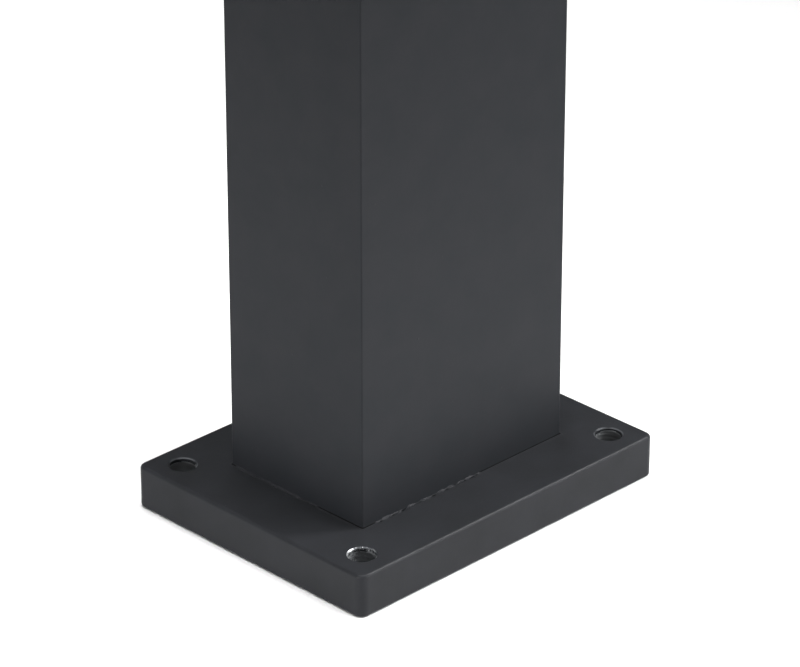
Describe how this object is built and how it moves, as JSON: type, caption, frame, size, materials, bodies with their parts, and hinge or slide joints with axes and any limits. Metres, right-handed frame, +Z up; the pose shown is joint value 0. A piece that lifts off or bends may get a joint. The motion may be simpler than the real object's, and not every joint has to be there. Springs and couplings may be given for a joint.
{
  "type": "fence post foot",
  "caption": "Rectangular hollow post on a thick base plate with anchor holes near its corners; the foot of a bolt-down fence post, dark powder coat.",
  "frame": {"origin": "centre of the base plate's underside, which stands on the ground", "axes": "+Z up along the post, +X along the long side of the post and the plate, +Y along their short side"},
  "size_m": [0.089, 0.069, 0.15],
  "materials": {
    "post_coat": "satin powder coat",
    "plate_coat": "satin powder coat",
    "sealant": "matt",
    "screw_steel": "satin"
  },
  "bodies": {
    "root": {"post_profile": "post_coat", "base_plate": "plate_coat", "joint_sealant": "sealant", "base_screw_front_left": "screw_steel", "base_screw_front_right": "screw_steel", "base_screw_rear_left": "screw_steel", "base_screw_rear_right": "screw_steel"}
  },
  "joints": []
}
